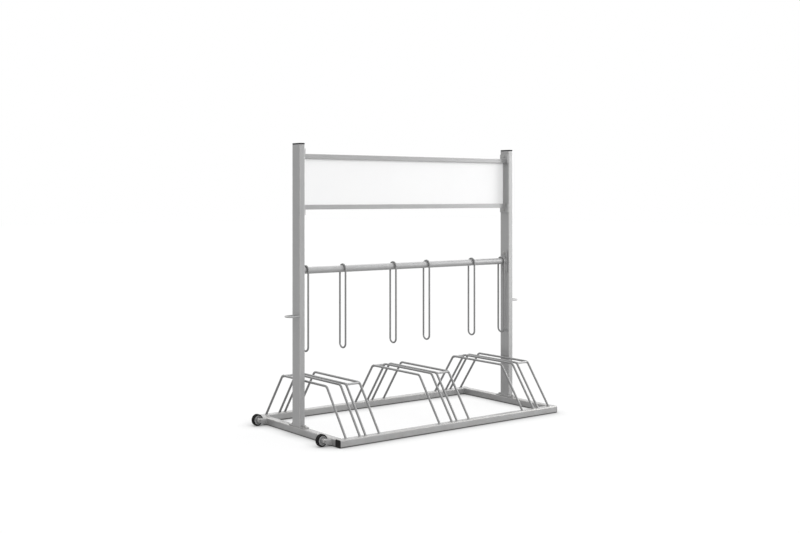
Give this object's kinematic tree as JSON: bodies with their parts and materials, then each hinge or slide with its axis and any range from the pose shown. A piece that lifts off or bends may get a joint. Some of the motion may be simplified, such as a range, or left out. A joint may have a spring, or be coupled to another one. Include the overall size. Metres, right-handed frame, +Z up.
{
  "type": "advertising bike rack",
  "caption": "Free-standing bicycle rack of bent steel hoops on a floor frame, with hanging locking loops, side lock eyes, transport wheels and a framed advertising header.",
  "frame": {"origin": "on the ground, under the middle of the outer box; the floor frame's own middle is 6.5 mm to the right of it, because the transport wheels stand out on the left", "axes": "+X along the rack, away from the transport wheels; +Y from the front to the back; +Z up"},
  "size_m": [1.401, 0.6, 1.231],
  "materials": {
    "rack_steel": "silver-grey powder coat, satin",
    "zinc_fastener": "zinc plated, dull",
    "black_plastic": "moulded, fine grain",
    "white_board": "smooth rigid board with a satin film",
    "grey_plastic": "moulded, fine grain",
    "black_rubber": "dull rubber, slightly dusty"
  },
  "bodies": {
    "rack": {"front_rail": "rack_steel", "rear_rail": "rack_steel", "left_side_rail": "rack_steel", "right_side_rail": "rack_steel", "rail_end_plugs": "black_plastic", "left_foot_plate": "rack_steel", "right_foot_plate": "rack_steel", "foot_bolts": "zinc_fastener", "foot_washers": "zinc_fastener", "foot_weld_nuts": "zinc_fastener", "left_post": "rack_steel", "right_post": "rack_steel", "left_post_cap": "black_plastic", "right_post_cap": "black_plastic", "header_top_rail": "rack_steel", "header_bottom_rail": "rack_steel", "header_left_brackets": "rack_steel", "header_right_brackets": "rack_steel", "header_bolts": "zinc_fastener", "header_weld_nuts": "zinc_fastener", "advertising_panel": "white_board", "panel_screws": "zinc_fastener", "locking_tube": "rack_steel", "left_tube_flange": "rack_steel", "right_tube_flange": "rack_steel", "flange_bolts": "zinc_fastener", "flange_weld_nuts": "zinc_fastener", "wheel_hoop_1": "rack_steel", "wheel_hoop_2": "rack_steel", "wheel_hoop_3": "rack_steel", "wheel_hoop_4": "rack_steel", "wheel_hoop_5": "rack_steel", "wheel_hoop_6": "rack_steel", "wheel_hoop_7": "rack_steel", "wheel_hoop_8": "rack_steel", "wheel_hoop_9": "rack_steel", "wheel_hoop_10": "rack_steel", "wheel_hoop_11": "rack_steel", "wheel_hoop_12": "rack_steel", "hoop_cross_bars": "rack_steel", "left_lock_eye": "rack_steel", "right_lock_eye": "rack_steel", "front_wheel_fork": "rack_steel", "rear_wheel_fork": "rack_steel", "wheel_axle_bolts": "zinc_fastener", "wheel_axle_nuts": "zinc_fastener"},
    "hanging_loop_1": {"locking_loop_1": "rack_steel"},
    "hanging_loop_2": {"locking_loop_2": "rack_steel"},
    "hanging_loop_3": {"locking_loop_3": "rack_steel"},
    "hanging_loop_4": {"locking_loop_4": "rack_steel"},
    "hanging_loop_5": {"locking_loop_5": "rack_steel"},
    "hanging_loop_6": {"locking_loop_6": "rack_steel"},
    "front_transport_wheel": {"front_wheel_hub": "grey_plastic", "front_wheel_tyre": "black_rubber"},
    "rear_transport_wheel": {"rear_wheel_hub": "grey_plastic", "rear_wheel_tyre": "black_rubber"}
  },
  "joints": [
    {"name": "loop_1_swing", "type": "hinge", "parent": "rack", "child": "hanging_loop_1", "pos_m": [-0.5835, 0, 0.691], "axis": [1, 0, 0], "range_deg": [-171, 171]},
    {"name": "loop_2_swing", "type": "hinge", "parent": "rack", "child": "hanging_loop_2", "pos_m": [-0.3825, 0, 0.691], "axis": [1, 0, 0], "range_deg": [-171, 171]},
    {"name": "loop_3_swing", "type": "hinge", "parent": "rack", "child": "hanging_loop_3", "pos_m": [-0.0945, 0, 0.691], "axis": [1, 0, 0], "range_deg": [-171, 171]},
    {"name": "loop_4_swing", "type": "hinge", "parent": "rack", "child": "hanging_loop_4", "pos_m": [0.1075, 0, 0.691], "axis": [1, 0, 0], "range_deg": [-171, 171]},
    {"name": "loop_5_swing", "type": "hinge", "parent": "rack", "child": "hanging_loop_5", "pos_m": [0.3955, 0, 0.691], "axis": [1, 0, 0], "range_deg": [-171, 171]},
    {"name": "loop_6_swing", "type": "hinge", "parent": "rack", "child": "hanging_loop_6", "pos_m": [0.5965, 0, 0.691], "axis": [1, 0, 0], "range_deg": [-171, 171]},
    {"name": "front_wheel_spin", "type": "hinge", "parent": "rack", "child": "front_transport_wheel", "pos_m": [-0.6755, -0.232, 0.026], "axis": [0, 1, 0], "continuous": true},
    {"name": "rear_wheel_spin", "type": "hinge", "parent": "rack", "child": "rear_transport_wheel", "pos_m": [-0.6755, 0.232, 0.026], "axis": [0, 1, 0], "continuous": true}
  ]
}
